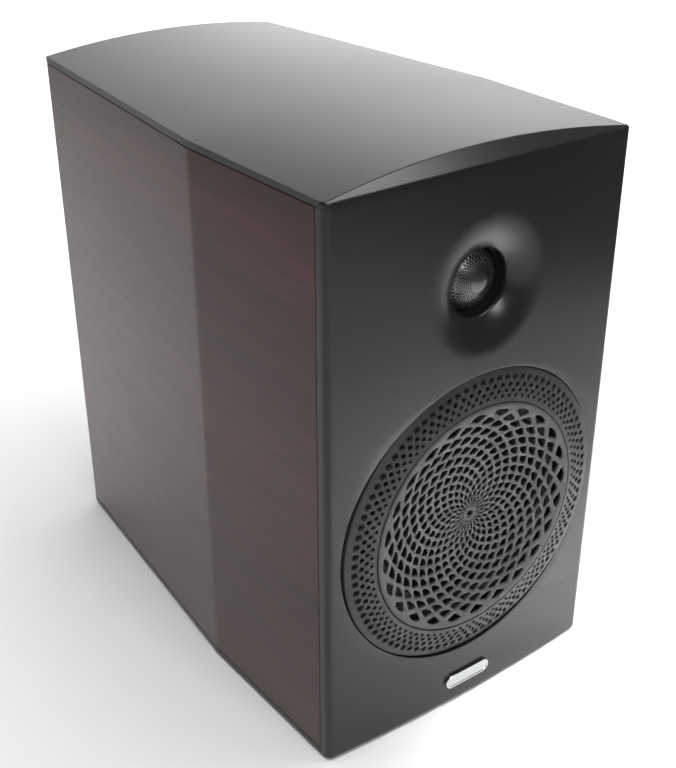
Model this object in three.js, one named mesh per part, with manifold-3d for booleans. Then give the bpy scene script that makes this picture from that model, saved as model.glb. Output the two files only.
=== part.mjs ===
// A two-way bookshelf loudspeaker with a rear bass port.
//
// Millimetres, +Z up. Inside the speaker group, x runs to the right as seen from the front,
// y is the depth behind the front corners of the cabinet, and z is the height above its underside.
// The group is then moved so that the origin is at the middle of the base, on the surface it stands on.

import * as THREE from "three";
import { mergeVertices } from "three/addons/utils/BufferGeometryUtils.js";
import Module from "manifold-3d";

const wasm = await Module();
wasm.setup();

// ---- Driving dimensions ----

const gap = 0.3; // clearance between neighbouring pieces
const fit = 0.9; // clearance of an opening around the piece it holds
const pilotRadius = 1.9; // hole for a small screw

// Cabinet outline seen from above: a slight fold in each side, then a taper to the rear
const frontHalf = 98.5;
const foldHalf = 100.6;
const rearHalf = 83.1;
const foldDepth = 114.5;
const cabinetDepth = 315.6;
const wall = 16; // side, inner and rear board thickness
const cornerRadius = 3.5; // rounding of the front's vertical edges

// Heights
const footHeight = 2;
const baseStrip = 3; // visible edge of the bottom panel
const capStrip = 4.2; // visible edge of the top panel
const foldHeight = 329.6; // side edge of the top, from the fold to the rear
const frontHeight = 328.8; // the same edge at the front corners
const boardStep = 15; // how far the top and bottom boards reach in between the sides
const frontCrown = 7.2; // rise of the top's middle over its side edges
const rearCrown = 6.2;

// Front fascia
const bow = 4.1; // how far the middle of the front stands forward of its corners
const fasciaBack = 7; // depth of the fascia's flat back
const bevelStart = 0.8; // the bevel over the front is this deep at its two ends
const bevelGrowth = 10.1; // and this much deeper in the middle
const browRise = 2; // rise of the front's upper edge in the middle
const bevelDrop = 0.8; // height of the bevel at its two ends

// Woofer
const wooferHeight = 126.5;
const ringRadius = 89.2;
const ringInner = 70.3;
const ringEdgeDepth = -2.4;
const ringCrestDepth = -6;
const lensRadius = 69.9;
const lensRimDepth = -6.2;
const lensDish = 6.8; // how deep the lens is dished
const lensFlatRadius = 66;
const lensThickness = 1.6;
const lensHoles = 24; // openings in one ring of the lens
const flangeRadius = 86;
const basketRadius = 76.5;
const coilRadius = 20.8;
const magnetRadius = 45;
const wooferScrewCircle = 80.5;

// Tweeter
const tweeterHeight = 264.5;
const guideRadius = 40.5;
const throatRadius = 18.2;
const throatDepth = 3.5;
const domeRadius = 12.6;
const tweeterFlange = 34;
const tweeterBody = 26;
const tweeterScrewOffset = 30;

// Rear
const portHeight = 232;
const portRadius = 25;
const portWall = 2.5;
const portLength = 112;
const portFlange = 38;
const cupHeight = 85;
const cupWidth = 84;
const cupTall = 76;
const cupDepth = 19.5; // from the flange's outer face to the floor of the recess
const cupFlange = 3; // thickness of the flange
const cupRim = 13; // width of the flange around the recess
const cupShell = 2.5; // wall of the bowl behind it
const postSpacing = 19;
const shaftRadius = 2.8;
const plugRadius = 2.1; // socket for a 4 mm plug
const capRadius = 6.8;
const capBore = 312.5; // how deep the threaded bore of a cap reaches
const capEnd = 322.2; // the deepest point of the whole object

// ---- Depths worked out from the above ----

const frontMost = lensRimDepth;
const middleDepth = (frontMost + capEnd) / 2;
const baffleFront = fasciaBack + gap;
const baffleBack = baffleFront + 18;
const rearFace = cabinetDepth - 1;
const rearPanelFront = rearFace - wall;
const boardBottom = foldHeight - capStrip; // top edge of the side, inner and rear boards
const floorTop = baseStrip + boardStep;
const cupFloor = rearFace + gap + cupFlange - cupDepth;
const collarEnd = cupFloor + gap + 2; // outer face of the collar on a binding post
const washerEnd = collarEnd + gap + 1;

// ---- Finishes ----

function finish(color, roughness, metalness = 0) {
  return new THREE.MeshStandardMaterial({ color, roughness, metalness });
}

const veneer = finish(0x3a2426, 0.18);
const satinBlack = finish(0x1c1d1f, 0.38);
const darkBoard = finish(0x6b5238, 0.8);
const moulding = finish(0x3a3b3d, 0.45);
const chrome = finish(0xd8dade, 0.12, 1);
const rubber = finish(0x111111, 0.75);
const conePaper = finish(0x2a2b2d, 0.6);
const castMetal = finish(0x2c2e31, 0.5, 0.6);
const platedSteel = finish(0x9a9da1, 0.35, 1);
const ferrite = finish(0x2b2a29, 0.7);
const copper = finish(0xb4693a, 0.35, 1);
const amberCloth = finish(0xa88a4a, 0.85);
const gold = finish(0xc9a24b, 0.25, 1);
const greenBoard = finish(0x1f4a33, 0.5);
const paleFilm = finish(0xd8d2bf, 0.5);
const wadding = finish(0xd9d7cf, 0.95);
const cable = finish(0x8c1f1f, 0.5);

// ---- Geometry helpers ----

// Welds a geometry into a closed body and turns its faces outward.
function closed(geometry) {
  const bare = geometry.clone();
  bare.deleteAttribute("normal");
  bare.deleteAttribute("uv");
  const welded = mergeVertices(bare, 1e-4);
  const place = welded.attributes.position;
  const corners = [];
  let volume = 0;
  for (let i = 0; i < welded.index.count; i += 3) {
    const [a, b, c] = [0, 1, 2].map((k) => welded.index.getX(i + k));
    if (a === b || b === c || c === a) continue;
    corners.push(a, b, c);
    const [p, q, r] = [a, b, c].map((k) => new THREE.Vector3().fromBufferAttribute(place, k));
    volume += p.dot(q.cross(r));
  }
  if (volume < 0) corners.reverse();
  welded.setIndex(corners);
  return welded;
}

function solid(geometry) {
  const body = closed(geometry);
  return new wasm.Manifold(
    new wasm.Mesh({
      numProp: 3,
      vertProperties: Float32Array.from(body.attributes.position.array),
      triVerts: Uint32Array.from(body.index.array),
    }),
  );
}

function surfaceOf(body) {
  const mesh = body.getMesh();
  const geometry = new THREE.BufferGeometry();
  geometry.setAttribute("position", new THREE.BufferAttribute(mesh.vertProperties, 3));
  geometry.setIndex(new THREE.BufferAttribute(mesh.triVerts, 1));
  return geometry;
}

function cut(geometry, tools) {
  let body = solid(geometry);
  for (const tool of tools) body = body.subtract(solid(tool));
  return surfaceOf(body);
}

function join(first, second) {
  return surfaceOf(solid(first).add(solid(second)));
}

// Revolves [radius, depth] points about the depth axis. A ring's outline closes on itself.
function turned(outline, segments = 24) {
  const points = outline.map(([radius, depth]) => new THREE.Vector2(radius, depth));
  const onAxis = outline[0][0] === 0 && outline.at(-1)[0] === 0;
  if (!onAxis) points.push(points[0].clone());
  return closed(new THREE.LatheGeometry(points, segments));
}

function disc(radius, near, far, segments = 24) {
  return turned([[0, near], [radius, near], [radius, far], [0, far]], segments);
}

function ring(inner, outer, near, far, segments = 24) {
  return turned([[inner, near], [outer, near], [outer, far], [inner, far]], segments);
}

function shapeOf(points) {
  return new THREE.Shape(points.map(([u, v]) => new THREE.Vector2(u, v)));
}

function extruded(shape, length) {
  return new THREE.ExtrudeGeometry(shape, { depth: length, bevelEnabled: false, curveSegments: 2 });
}

// A prism standing on an outline of [x, y] points, from one height to another.
function upright(points, low, high) {
  return extruded(shapeOf(points), high - low).translate(0, 0, low);
}

// A prism along the depth axis, from a shape drawn in x and z.
function along(shape, near, far) {
  return extruded(shape, far - near).rotateX(Math.PI / 2).translate(0, far, 0);
}

function block(x0, x1, y0, y1, z0, z1) {
  return new THREE.BoxGeometry(x1 - x0, y1 - y0, z1 - z0)
    .translate((x0 + x1) / 2, (y0 + y1) / 2, (z0 + z1) / 2);
}

function roundedRectangle(width, height, radius) {
  const [w, h] = [width / 2, height / 2];
  const shape = new THREE.Shape();
  shape.moveTo(-w + radius, -h);
  shape.lineTo(w - radius, -h);
  shape.absarc(w - radius, -h + radius, radius, -Math.PI / 2, 0, false);
  shape.lineTo(w, h - radius);
  shape.absarc(w - radius, h - radius, radius, 0, Math.PI / 2, false);
  shape.lineTo(-w + radius, h);
  shape.absarc(-w + radius, h - radius, radius, Math.PI / 2, Math.PI, false);
  shape.lineTo(-w, -h + radius);
  shape.absarc(-w + radius, -h + radius, radius, Math.PI, 1.5 * Math.PI, false);
  return shape;
}

// A closed body through cross-sections that all have the same number of points.
function lofted(sections) {
  const count = sections[0].length;
  const points = sections.flat(2);
  const corners = [];
  for (let s = 0; s + 1 < sections.length; s += 1) {
    for (let k = 0; k < count; k += 1) {
      const [a, b] = [s * count + k, s * count + ((k + 1) % count)];
      corners.push(a, b, a + count, b, b + count, a + count);
    }
  }
  for (const [index, facing] of [[0, -1], [sections.length - 1, 1]]) {
    const flat = sections[index].map(([, y, z]) => new THREE.Vector2(y, z));
    const wanted = facing * Math.sign(THREE.ShapeUtils.area(flat));
    for (const [a, b, c] of THREE.ShapeUtils.triangulateShape(flat, [])) {
      const turn = Math.sign(THREE.ShapeUtils.area([flat[a], flat[b], flat[c]]));
      const order = turn === wanted ? [a, b, c] : [a, c, b];
      corners.push(...order.map((k) => index * count + k));
    }
  }
  const geometry = new THREE.BufferGeometry();
  geometry.setAttribute("position", new THREE.Float32BufferAttribute(points, 3));
  geometry.setIndex(corners);
  return closed(geometry);
}

function tube(points, radius) {
  const path = new THREE.CatmullRomCurve3(points.map((p) => new THREE.Vector3(...p)));
  const section = new THREE.Shape().absarc(0, 0, radius, 0, 2 * Math.PI, false);
  return new THREE.ExtrudeGeometry(section, {
    steps: 16,
    bevelEnabled: false,
    extrudePath: path,
    curveSegments: 4,
  });
}

// ---- Cabinet surfaces ----

// Half width of the cabinet at a depth
function halfWidth(depth) {
  if (depth < foldDepth) return frontHalf + ((foldHalf - frontHalf) * depth) / foldDepth;
  return foldHalf + ((rearHalf - foldHalf) * (depth - foldDepth)) / (cabinetDepth - foldDepth);
}

// 1 in the middle of the width, 0 at either side
function arch(across) {
  return 1 - across * across;
}

// Height of the top at a depth, for a place across from -1 to 1
function topHeight(depth, across) {
  const edge = frontHeight + (foldHeight - frontHeight) * Math.min(depth / foldDepth, 1);
  const crown = frontCrown + ((rearCrown - frontCrown) * depth) / cabinetDepth;
  return edge + crown * arch(across);
}

// Stations across the bowed front, from the left rounded edge to the right one: place across
// and depth of the front face there
function frontStations() {
  const turns = 4;
  const spans = 16;
  const straight = frontHalf - cornerRadius;
  const faceDepth = (x) => -bow * arch(x / frontHalf);
  const stations = [];
  for (let i = 0; i <= spans; i += 1) {
    const x = straight * ((2 * i) / spans - 1);
    stations.push({ x, depth: faceDepth(x) });
  }
  for (let i = 1; i <= turns; i += 1) {
    const angle = (i / turns) * (Math.PI / 2);
    const x = straight + cornerRadius * Math.sin(angle);
    const depth = faceDepth(straight) + cornerRadius * (1 - Math.cos(angle));
    stations.push({ x, depth });
    stations.unshift({ x: -x, depth });
  }
  return stations.map(({ x, depth }) => {
    const across = x / frontHalf;
    return { x, across, depth, crest: depth + bevelStart + bevelGrowth * arch(across) };
  });
}

// ---- Cabinet pieces ----

function sidePanel(side) {
  const outline = [
    [halfWidth(baffleFront), baffleFront],
    [foldHalf, foldDepth],
    [rearHalf, cabinetDepth],
    [rearHalf - wall, cabinetDepth],
    [foldHalf - wall, foldDepth],
    [halfWidth(baffleFront) - wall, baffleFront],
  ];
  return upright(outline.map(([x, y]) => [side * x, y]), baseStrip + gap, boardBottom);
}

// Outline between the two side panels, from one depth to another
function betweenSides(near, far) {
  const inner = (depth) => halfWidth(depth) - wall - gap;
  const right = [[inner(near), near]];
  if (near < foldDepth && foldDepth < far) right.push([inner(foldDepth), foldDepth]);
  right.push([inner(far), far]);
  return [...right, ...right.map(([x, y]) => [-x, y]).reverse()];
}

function innerBoard(low, high) {
  return upright(betweenSides(baffleBack + gap, rearPanelFront - gap), low, high);
}

function topPanel() {
  const underside = boardBottom + gap;
  const cap = lofted(
    frontStations().map(({ x, across, crest }) => {
      const front = crest + gap;
      return [
        [x, front, underside],
        [x, front, topHeight(front, across)],
        [across * foldHalf, foldDepth, topHeight(foldDepth, across)],
        [across * rearHalf, cabinetDepth, topHeight(cabinetDepth, across)],
        [across * rearHalf, cabinetDepth, underside],
        [across * foldHalf, foldDepth, underside],
      ];
    }),
  );
  return join(cap, innerBoard(boardBottom - boardStep, underside + gap));
}

function bottomPanel() {
  const right = [[halfWidth(baffleFront), baffleFront], [foldHalf, foldDepth], [rearHalf, cabinetDepth]];
  const outline = [...right, ...right.map(([x, y]) => [-x, y]).reverse()];
  return join(upright(outline, 0, baseStrip), innerBoard(baseStrip - gap, floorTop));
}

function rearPanel() {
  const board = upright(betweenSides(rearPanelFront, rearFace), baseStrip + gap, boardBottom);
  const [near, far] = [rearPanelFront - 1, rearFace + 1];
  const pilots = cupScrewPlaces().map(([x, z]) => disc(pilotRadius, 302, far, 8).translate(x, 0, z));
  return cut(board, [
    disc(portRadius + portWall + fit, near, far, 32).translate(0, 0, portHeight),
    along(cupOutline(cupShell + fit), near, far).translate(0, 0, cupHeight),
    ...pilots,
  ]);
}

function innerBaffle() {
  const board = upright(betweenSides(baffleFront, baffleBack), baseStrip + gap, boardBottom);
  const near = baffleFront - 1;
  const wooferPilots = wooferScrewPlaces().map(([x, z]) =>
    disc(pilotRadius + gap, near, 24, 8).translate(x, 0, z),
  );
  const tweeterPilots = [-1, 1].map((side) =>
    disc(pilotRadius, near, 22, 8).translate(side * tweeterScrewOffset, 0, tweeterHeight),
  );
  return cut(board, [
    disc(basketRadius + fit, near, baffleBack + 1, 36).translate(0, 0, wooferHeight),
    disc(tweeterBody + fit, near, baffleBack + 1).translate(0, 0, tweeterHeight),
    disc(tweeterFlange + fit, near, baffleFront + 3.4).translate(0, 0, tweeterHeight),
    ...wooferPilots,
    ...tweeterPilots,
  ]);
}

// A board across the cabinet with two windows in it
function shelfBrace() {
  const [near, far] = [70, rearPanelFront - gap];
  const board = upright(betweenSides(near, far), 180, 192);
  const windows = [[near + 20, near + 105], [near + 125, far - 20]].map(([y0, y1]) =>
    block(-50, 50, y0, y1, 179, 193),
  );
  return cut(board, windows);
}

// The bowed front moulding. Its upper edge carries a bevel that fades out towards both corners,
// and a step behind the bevel takes the edge of the top panel.
function frontFascia() {
  const body = lofted(
    frontStations().map(({ x, across, depth, crest }) => [
      [x, depth, 0],
      [x, depth, frontHeight - bevelDrop + browRise * arch(across)],
      [x, crest, topHeight(crest, across)],
      [x, crest, boardBottom],
      [x, fasciaBack, boardBottom],
      [x, fasciaBack, 0],
    ]),
  );
  const wooferOpening = disc(ringRadius + 0.5, -20, 20, 64).translate(0, 0, wooferHeight);
  return cut(body, [wooferOpening, waveguide().translate(0, 0, tweeterHeight)]);
}

// The space taken out of the fascia in front of the tweeter: a smooth dish that steepens
// towards the throat
function waveguide() {
  const steps = 6;
  const dish = [];
  for (let i = 0; i <= steps; i += 1) {
    const out = i / steps;
    const radius = throatRadius + (guideRadius - throatRadius) * out;
    dish.push([radius, throatDepth - (throatDepth + bow) * (1 - (1 - out) ** 2.2)]);
  }
  return turned([[0, 20], [throatRadius, 20], ...dish, [guideRadius + 3, -bow - 1], [0, -bow - 1]], 40);
}

function badgePlate() {
  const shape = roundedRectangle(33, 9, 4.5);
  return along(shape, -bow - 1.8, -bow - gap);
}

function foot() {
  return new THREE.CylinderGeometry(6.5, 7.5, footHeight - gap, 20).rotateX(-Math.PI / 2);
}

// ---- Woofer pieces ----

function wooferScrewPlaces() {
  return [45, 135, 225, 315].map((degrees) => {
    const angle = THREE.MathUtils.degToRad(degrees);
    return [wooferScrewCircle * Math.cos(angle), wooferHeight + wooferScrewCircle * Math.sin(angle)];
  });
}

function wooferTrimRing() {
  const shell = 1.5;
  return turned(
    [
      [ringRadius, ringEdgeDepth],
      [ringRadius, 2.9],
      [ringRadius - 1.5, 2.9],
      [ringRadius - 1.5, ringEdgeDepth + shell],
      [ringInner, ringCrestDepth + shell],
      [ringInner, ringCrestDepth],
    ],
    48,
  );
}

function lensDepth(radius) {
  const out = Math.min(radius / lensFlatRadius, 1);
  return lensRimDepth + lensDish * (1 - out * out);
}

// A shallow dished disc with one ring of openings near its rim
function wooferLens() {
  const radii = [0, 26, 48, lensFlatRadius, lensRadius];
  const front = radii.map((radius) => [radius, lensDepth(radius)]);
  const back = radii.toReversed().map((radius) => [radius, lensDepth(radius) + lensThickness]);
  const skirt = [[lensRadius, -3.4], [lensRadius - 1.5, -3.4]];
  const dish = turned([...front, ...skirt, ...back.slice(1)], 32);
  const openings = [];
  for (let i = 0; i < lensHoles; i += 1) {
    const opening = along(shapeOf([[57, 0], [60.5, -4], [64, 0], [60.5, 4]]), -12, 4);
    openings.push(opening.rotateY((i / lensHoles) * 2 * Math.PI));
  }
  return cut(dish, openings);
}

function wooferBasket() {
  const bowl = turned(
    [
      [flangeRadius, 3.2],
      [flangeRadius, 7],
      [basketRadius, 7],
      [basketRadius, 13],
      [73.5, 30],
      [50, 52],
      [50, 66],
      [23, 66],
      [23, 62],
      [39, 62],
      [39, 50.3],
      [46, 50.3],
      [70.5, 29],
      [70.5, 8.8],
      [75.5, 8.8],
      [75.5, 3.2],
    ],
    32,
  );
  const windows = [0, 60, 120, 180, 240, 300].map((degrees) =>
    block(40, 90, 14, 46, -19, 19).rotateY(THREE.MathUtils.degToRad(degrees)),
  );
  const screwHoles = wooferScrewPlaces().map(([x, z]) =>
    disc(2.4, 2, 8, 8).translate(x, 0, z - wooferHeight),
  );
  return cut(bowl, [...windows, ...screwHoles]);
}

// The rubber half roll between cone and basket
function halfRoll(innerLip, inner, outer, outerLip, seat, thickness) {
  const steps = 4;
  const [middle, radius] = [(inner + outer) / 2, (outer - inner) / 2];
  const arc = (size, base) =>
    Array.from({ length: steps + 1 }, (_, i) => {
      const angle = (i / steps) * Math.PI;
      return [middle - size * Math.cos(angle), base - size * Math.sin(angle)];
    });
  return turned(
    [
      [innerLip, seat],
      [innerLip, seat - thickness],
      ...arc(radius + thickness / 2, seat - thickness),
      [outerLip, seat - thickness],
      [outerLip, seat],
      ...arc(radius - thickness / 2, seat).reverse(),
    ],
    28,
  );
}

function wooferCone() {
  return turned([[59.8, 8.8], [59.8, 10.2], [40, 23], [20.2, 34.6], [20.2, 33], [40, 21.4]], 32);
}

function dustCap() {
  return turned([[0, 22.6], [12, 24.6], [24, 29.6], [24, 30.5], [12, 25.5], [0, 23.5]]);
}

// A ring of concentric pleats
function spider() {
  const pleats = 3;
  const [inner, outer, height] = [20.3, 38.5, 1.6];
  const wave = [];
  for (let i = 0; i <= 2 * pleats; i += 1) {
    const radius = inner + ((outer - inner) * i) / (2 * pleats);
    wave.push([radius, 49.2 + (i % 2 ? -height : 0)]);
  }
  wave.push([45.5, 49.2]);
  const back = wave.toReversed().map(([radius, depth]) => [radius, depth + 0.8]);
  return turned([...wave, ...back]);
}

function wooferYoke() {
  return turned(
    [[5, 66.3], [18.3, 66.3], [18.3, 90.6], [43, 90.6], [43, 96.6], [5, 96.6]],
  );
}

// ---- Tweeter pieces ----

function tweeterPlate() {
  const plate = turned(
    [
      [tweeterFlange, baffleFront],
      [tweeterFlange, 10.3],
      [tweeterBody, 10.3],
      [tweeterBody, 13.2],
      [16.4, 13.2],
      [16.4, 11.2],
      [throatRadius + 0.2, 11.2],
      [throatRadius + 0.2, baffleFront],
    ],
    32,
  );
  const holes = [-1, 1].flatMap((side) => [
    disc(pilotRadius, 5, 15, 8).translate(side * tweeterScrewOffset, 0, 0),
    disc(3.6, 5, 9.2, 12).translate(side * tweeterScrewOffset, 0, 0),
  ]);
  return cut(plate, holes);
}

// A thin spherical cap, open at the back. The rim is its widest circle.
function cap(rim, rimDepth, rise, thickness) {
  const steps = 5;
  const sphere = (rim * rim + rise * rise) / (2 * rise);
  const reach = Math.asin(rim / sphere);
  const skin = (radius) =>
    Array.from({ length: steps + 1 }, (_, i) => {
      const angle = (i / steps) * reach;
      const drop = radius * Math.cos(angle) - sphere * Math.cos(reach);
      return [i === 0 ? 0 : radius * Math.sin(angle), rimDepth - drop];
    });
  return turned([...skin(sphere), ...skin(sphere - thickness).reverse()]);
}

function tweeterYoke() {
  return turned(
    [[3, 14.6], [11.4, 14.6], [11.4, 24.9], [25, 24.9], [25, 27.9], [3, 27.9]],
  );
}

function rearChamber() {
  return turned([[24, 28.2], [24, 48], [0, 48], [0, 46], [22, 46], [22, 28.2]]);
}

// ---- Crossover ----

function inductor(radius, height) {
  return turned([[5, 0], [radius, 0], [radius, height], [5, height]]).rotateX(Math.PI / 2);
}

function lyingCan(radius, length) {
  return disc(radius, 0, length);
}

// ---- Rear fittings ----

function portTube() {
  const outer = portRadius + portWall;
  const mouth = rearFace + gap;
  const start = mouth - portLength;
  const flare = [[portRadius, mouth - 14], [portRadius + 1.6, mouth - 6], [portRadius + 5, mouth + 0.5],
    [portRadius + 8.5, mouth + 3]];
  return turned(
    [
      [portRadius, start],
      [outer, start],
      [outer, mouth - 4],
      [outer, mouth],
      [portFlange, mouth],
      [portFlange, mouth + 2],
      [portFlange - 1, mouth + 3],
      ...flare.reverse(),
    ],
    32,
  );
}

function cupScrewPlaces() {
  const places = [];
  for (const x of [-36, 36]) {
    for (const z of [-32, 32]) places.push([x, cupHeight + z]);
  }
  return places;
}

// The outline of the cup's recess, grown by a margin on every side
function cupOutline(margin) {
  const [width, height] = [cupWidth, cupTall].map((size) => size - 2 * cupRim + 2 * margin);
  return roundedRectangle(width, height, 3 + margin * 0.6);
}

function terminalCup() {
  const face = rearFace + gap;
  const beyond = face + cupFlange + 2;
  const plate = along(roundedRectangle(cupWidth, cupTall, 8), face, face + cupFlange);
  const bowl = along(cupOutline(cupShell), cupFloor - cupShell, face + 1);
  const recess = along(cupOutline(0), cupFloor, beyond);
  const postHoles = [-1, 1].map((side) => disc(shaftRadius + gap, cupFloor - 5, cupFloor + 5, 12)
    .translate((side * postSpacing) / 2, 0, 0));
  const screwHoles = cupScrewPlaces().map(([x, z]) => disc(pilotRadius, face - 2, beyond, 8)
    .translate(x, 0, z - cupHeight));
  return cut(join(plate, bowl), [recess, ...postHoles, ...screwHoles]);
}

function bindingPost() {
  const collar = 6.2;
  const [tail, tip] = [cupFloor - 10, capBore - 1.5];
  return turned(
    [
      [0, tail],
      [shaftRadius, tail],
      [shaftRadius, cupFloor + gap],
      [collar, cupFloor + gap],
      [collar, collarEnd],
      [shaftRadius, collarEnd],
      [shaftRadius, tip],
      [0, tip],
    ],
    16,
  );
}

function bindingCap() {
  const lobes = 12;
  const points = [];
  for (let i = 0; i < 2 * lobes; i += 1) {
    const angle = (i / (2 * lobes)) * 2 * Math.PI;
    const radius = i % 2 ? capRadius : capRadius - 0.8;
    points.push([radius * Math.cos(angle), radius * Math.sin(angle)]);
  }
  const start = washerEnd + gap;
  const grip = along(shapeOf(points), start, capEnd);
  return cut(grip, [
    disc(shaftRadius + gap, start - 1, capBore, 12),
    disc(plugRadius, capBore - 0.5, capEnd + 1, 12),
  ]);
}

function screw(headRadius, headHeight, shankRadius, length) {
  return turned(
    [
      [0, 0],
      [headRadius * 0.7, 0],
      [headRadius, headHeight * 0.6],
      [headRadius, headHeight],
      [shankRadius, headHeight],
      [shankRadius, length - 1.5],
      [0, length],
    ],
    10,
  );
}

// ---- Assembly ----

const speaker = new THREE.Group();
speaker.position.set(0, -middleDepth, footHeight);

function place(parent, name, geometry, material, position = [0, 0, 0]) {
  const mesh = new THREE.Mesh(geometry, material);
  mesh.name = name;
  mesh.position.set(...position);
  parent.add(mesh);
  return mesh;
}

function groupAt(height) {
  const group = new THREE.Group();
  group.position.z = height;
  speaker.add(group);
  return group;
}

place(speaker, "left_side_panel", sidePanel(-1), veneer);
place(speaker, "right_side_panel", sidePanel(1), veneer);
place(speaker, "top_panel", topPanel(), satinBlack);
place(speaker, "bottom_panel", bottomPanel(), satinBlack);
place(speaker, "rear_panel", rearPanel(), satinBlack);
place(speaker, "inner_baffle", innerBaffle(), darkBoard);
place(speaker, "shelf_brace", shelfBrace(), darkBoard);
place(speaker, "front_fascia", frontFascia(), satinBlack);
place(speaker, "badge_plate", badgePlate(), chrome, [0, 0, 15]);
place(speaker, "damping_wadding", block(-67, -49, 120, 280, 196, 300), wadding);

const footHeightMiddle = -gap - (footHeight - gap) / 2;
for (const [name, x, y] of [
  ["foot_front_left", -80, 28],
  ["foot_front_right", 80, 28],
  ["foot_rear_left", -66, 294],
  ["foot_rear_right", 66, 294],
]) {
  place(speaker, name, foot(), rubber, [x, y, footHeightMiddle]);
}

const woofer = groupAt(wooferHeight);
place(woofer, "woofer_trim_ring", wooferTrimRing(), moulding);
place(woofer, "woofer_lens", wooferLens(), moulding);
place(woofer, "woofer_basket", wooferBasket(), castMetal);
place(woofer, "woofer_surround", halfRoll(56.5, 60.2, 71, 75, 8.5, 0.8), rubber);
place(woofer, "woofer_cone", wooferCone(), conePaper);
place(woofer, "woofer_dust_cap", dustCap(), conePaper);
place(woofer, "woofer_coil_former", ring(18.9, 19.6, 31.6, 74), amberCloth);
place(woofer, "woofer_voice_coil", ring(19.8, coilRadius, 63.3, 75.3), copper);
place(woofer, "woofer_spider", spider(), amberCloth);
place(woofer, "woofer_top_plate", ring(coilRadius + 0.8, magnetRadius, 66.3, 72.3), platedSteel);
place(woofer, "woofer_magnet", ring(26, magnetRadius, 72.6, 90.3), ferrite);
place(woofer, "woofer_back_plate", wooferYoke(), platedSteel);
wooferScrewPlaces().forEach(([x, z], i) => {
  place(woofer, `woofer_screw_${i + 1}`, screw(4, 2.4, 1.9, 20), platedSteel, [x, 0.5, z - wooferHeight]);
});

const tweeter = groupAt(tweeterHeight);
place(tweeter, "tweeter_plate", tweeterPlate(), castMetal);
place(tweeter, "tweeter_mesh_guard", cap(17.9, 10.4, 6.9, 0.6), castMetal);
place(tweeter, "tweeter_dome", cap(domeRadius, 13.7, 4.6, 0.5), platedSteel);
place(tweeter, "tweeter_surround", halfRoll(12.9, 13.6, 15.4, 21, 14, 0.4), rubber);
place(tweeter, "tweeter_voice_coil", ring(12, 12.6, 14.4, 19.5), copper);
place(tweeter, "tweeter_top_plate", ring(13.3, 25, 14.3, 18.3), platedSteel);
place(tweeter, "tweeter_magnet", ring(16, 25, 18.6, 24.6), ferrite);
place(tweeter, "tweeter_back_plate", tweeterYoke(), platedSteel);
place(tweeter, "tweeter_rear_chamber", rearChamber(), castMetal);
[-1, 1].forEach((side, i) => {
  place(tweeter, `tweeter_screw_${i + 1}`, screw(3.1, 1.4, 1.6, 12.5), platedSteel,
    [side * tweeterScrewOffset, 7.5, 0]);
});

const boardTop = floorTop + gap + 2; // upper face of the circuit board
const crossover = groupAt(boardTop + gap);
place(speaker, "crossover_board", block(-46, 46, 180, 276, floorTop + gap, boardTop), greenBoard);
place(crossover, "woofer_inductor", inductor(20, 16), copper, [-22, 205, 16]);
place(crossover, "tweeter_inductor", inductor(13, 12), copper, [26, 199, 12]);
place(crossover, "woofer_capacitor", lyingCan(9, 40), paleFilm, [-20, 232, 9]);
place(crossover, "tweeter_capacitor", lyingCan(7, 34), paleFilm, [20, 236, 7]);
place(speaker, "woofer_lead", tube(
  [[40, 186, 23.5], [50, 160, 30], [58, 120, 60], [60, 85, 100], [54, 60, 126]], 1.5), cable);
place(speaker, "tweeter_lead", tube(
  [[-40, 186, 23.5], [-46, 165, 60], [-43, 150, 120], [-42, 148, 190], [-34, 110, 235], [-14, 51, 264]],
  1.5), cable);

place(speaker, "port_tube", portTube(), moulding, [0, 0, portHeight]);
const terminals = groupAt(cupHeight);
place(terminals, "terminal_cup", terminalCup(), moulding);
for (const [polarity, side, ink] of [["negative", -1, 0x141414], ["positive", 1, 0x9b1c1c]]) {
  const at = [(side * postSpacing) / 2, 0, 0];
  place(terminals, `${polarity}_post`, bindingPost(), gold, at);
  place(terminals, `${polarity}_washer`, ring(shaftRadius + gap, 6, collarEnd + gap, washerEnd, 16), gold, at);
  place(terminals, `${polarity}_cap`, bindingCap(), finish(ink, 0.3), at);
}
cupScrewPlaces().forEach(([x, z], i) => {
  const head = screw(3.2, 1.8, 1.6, 15).rotateZ(Math.PI);
  place(terminals, `cup_screw_${i + 1}`, head, platedSteel, [x, rearFace + 5.4, z - cupHeight]);
});

export default speaker;
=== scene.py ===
"""A two-way bookshelf loudspeaker: its looks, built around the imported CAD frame.

Metres, in the frame's own axes: x to the right seen from the front, y from the front to the rear, z up.
Outlines of turned and moulded pieces are written in millimetres, as the cabinet's drawing is: depth is
measured back from the front corners of the cabinet and height from its underside.
"""

import math

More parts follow.
